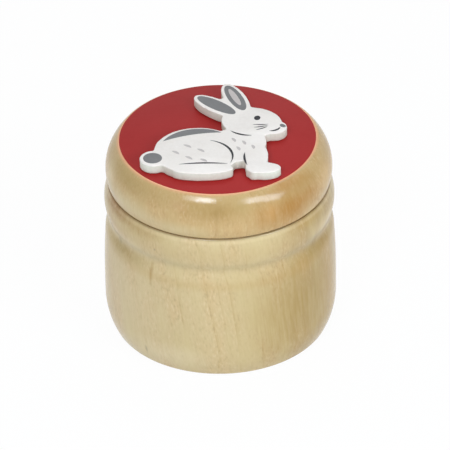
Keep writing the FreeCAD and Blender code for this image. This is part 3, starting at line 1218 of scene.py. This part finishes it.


# Spots of the cup's and the lid's wood: azimuth, height, width, length, share and tint. Most are marks and
# tone in the wood; the ones noted are painted shade, painted highlights and painted reflections.
CUP_SPOTS = (
    # Painted shade: dark brown under the seam on the left, which also dims the white reflection at that edge.
    SpotStainAndLight(-68.0, 31.4, 20.0, 4.8, 0.72, "#8C5A08"),
    # Painted shade: darker lower flank of the groove on the left, where it reflects less light.
    SpotStainAndLight(-58.0, 23.2, 22.0, 5.4, 0.6, "#987C38"),
    SpotStainAndLight(-63.0, 24.3, 3.0, 2.0, 0.35, "#7E7440"),
    SpotStainAndLight(-37.0, 21.8, 1.2, 7.0, 0.65, "#A37A34"),
    SpotStainAndLight(-40.9, 3.6, 1.0, 2.8, 0.65, "#6B5632"),
    SpotStainAndLight(-34.1, 27.8, 0.7, 0.8, 0.6, "#8C8468"),
    SpotStainAndLight(53.9, 14.4, 0.6, 7.0, 0.4, "#8E8557"),
    SpotStainAndLight(56.1, 24.3, 3.0, 2.6, 0.3, "#8C6B34"),
    # Painted shade: darker lower flank of the groove on the right.
    SpotStainAndLight(62.0, 23.0, 20.0, 5.4, 0.5, "#906E1E"),
    # Painted reflection: pale patch where the bead's lower right reflects the white table.
    SpotStainAndLight(68.0, 27.6, 16.0, 4.4, 0.45, "#E8D0A0"),
    # Painted shade: warmer, darker left edge of the barrel, which dims its white edge reflection.
    SpotStainAndLight(-76.0, 14.0, 14.0, 40.0, 0.34, "#B8923E"),
    # Darkens the cup's right side: partly browner wood, partly painted shade on the side away from the
    # brighter light.
    SpotStainAndLight(70.0, 14.0, 16.0, 36.0, 0.5, "#AE8632"),
    # Painted shade under the seam on the left of the bead.
    SpotStainAndLight(-47.0, 30.7, 22.0, 4.5, 0.4, "#9E782C"),
    # Painted light: pale patch that lifts the shade on the foot's rounding at the front left.
    SpotStainAndLight(-27.0, 4.0, 24.0, 9.0, 0.3, "#F0E2BE"),
    # Painted shade: darker lower left of the bead, which dims its white edge reflection.
    SpotStainAndLight(-70.0, 26.8, 16.0, 5.0, 0.5, "#AE873A"),
    # Painted shade under the seam on the right of the bead.
    SpotStainAndLight(50.0, 30.8, 18.0, 4.5, 0.4, "#A47A18"),
    SpotStainAndLight(17.0, 14.0, 16.0, 44.0, 0.25, "#A58848"),
    SpotStainAndLight(-50.0, 12.0, 26.0, 40.0, 0.22, "#EAD6AE"),
    SpotStainAndLight(45.0, 21.5, 11.0, 7.0, 0.3, "#B58F48"),
    # Darkens the cup's right side: partly browner wood, partly painted shade on the side away from the
    # brighter light.
    SpotStainAndLight(42.0, 12.0, 30.0, 44.0, 0.7, "#A0803C"),
)
LID_SPOTS = (
    SpotStainAndLight(-3.0, 38.2, 26.0, 8.0, 0.55, "#9E7C3C"),
    SpotStainAndLight(34.0, 36.3, 22.0, 13.0, 0.7, "#A4701E"),
    SpotStainAndLight(51.0, 37.0, 14.0, 10.0, 0.5, "#A06A0C"),
    SpotStainAndLight(42.0, 40.5, 30.0, 4.8, 1.0, "#A66004"),
    # Painted light: paler right edge of the lid, as if lit from the right.
    SpotStainAndLight(72.0, 37.6, 12.0, 10.0, 0.3, "#E0B678"),
    # Painted reflection: paler upright band on the lid's left edge.
    SpotStainAndLight(-76.0, 37.4, 10.0, 9.0, 0.54, "#E6D2A8"),
    SpotStainAndLight(-1.3, 38.0, 4.0, 5.0, 0.25, "#8E6A34"),
    SpotStainAndLight(27.0, 37.0, 4.4, 8.0, 0.22, "#E2B478"),
    SpotStainAndLight(54.0, 39.5, 10.0, 4.0, 0.5, "#AC7420"),
    SpotStainAndLight(-60.0, 39.6, 30.0, 6.4, 0.42, "#A08A48"),
    SpotStainAndLight(-56.0, 34.6, 30.0, 6.8, 0.5, "#D8CBA0"),
    SpotStainAndLight(-25.0, 33.4, 26.0, 5.0, 0.4, "#D6C9A0"),
    SpotStainAndLight(-21.4, 38.6, 6.0, 3.4, 0.4, "#CDA27C"),
)


def main() -> None:
    """Set the stage and build the box's pieces in order."""
    logging.basicConfig(level=logging.INFO, format="%(message)s")
    Studio().build()
    cup_stick = WoodFigure(pith_azimuth=80.0, pith_distance=34.0, lean=8.0)
    lid_stick = WoodFigure(pith_azimuth=110.0, pith_distance=30.0, lean=3.0)
    # Painted shade: dark band in the crease where the lid meets the cup.
    seam_painted_shade = BandStainAndLight(31.9, 0.45, 0.6, "#5E3C04")
    red_edge = FilmEdge()
    cup_wood = LacqueredWood(
        "lacquered turned lime", cup_stick, pale="#D0BC8F", deep="#B99C67", ruddy="#CDAC7D", fresh="#CEBD89",
        heart="#8F7036", heart_share=0.5, spots=CUP_SPOTS, bands=(
            # Painted highlight: pale line on the bead's rounded top edge under the seam.
            BandStainAndLight(31.2, 0.5, 0.12, "#F2E0B8"),
            # Painted shade: darker, more orange band just under the lip.
            BandStainAndLight(21.4, 1.7, 0.2, "#B8924F"),
            # Painted shade: darker band under the bead, in the groove.
            BandStainAndLight(25.4, 1.5, 0.2, "#A08E5E"),
            BandStainAndLight(28.4, 3.0, 0.14, "#B48E54"),
            seam_painted_shade,
        ))
    lid_wood = LacqueredWood(
        "lacquered turned lime, amber", lid_stick, pale="#CBAC79", deep="#AF8D56", ruddy="#BE965D",
        fresh="#BDA66F", heart="#AB7D3C", heart_share=0.2, spots=LID_SPOTS, bands=(
            # Painted shade: darker upper shoulder of the lid.
            BandStainAndLight(39.3, 3.0, 0.42, "#A68B52"),
            # Pale pink band round the red film: partly thin red paint over the wood, partly a painted
            # highlight on the rounded top edge.
            RimBleedAndHighlight(red_edge, 0.72, 0.86, "#ECA87C"),
            seam_painted_shade,
        ))
    cup = TurnedCup(cup_wood, BareWood("bare bored lime", cup_stick))
    cup.build()
    lid = TurnedLid(lid_wood, BareWood("bare turned lime", lid_stick), cup)
    lid.build()
    PaintFilm(RolledAcrylic("red rolled acrylic", "#9C2220", "#A02624", gloss=0.15), lid, red_edge).build()
    board = RabbitBoard(RolledAcrylic("white painted plywood", "#EEE7DE", "#E7DFD5"),
                        # The sawn side's greenish grey cancels the pink light bounced from the red top:
                        # painted light.
                        RolledAcrylic("white painted plywood, sawn side", "#DFE1D2", "#D3D3C4"))
    board.build()
    RabbitPrint(board.print_level).build()


if __name__ == "__main__":
    main()
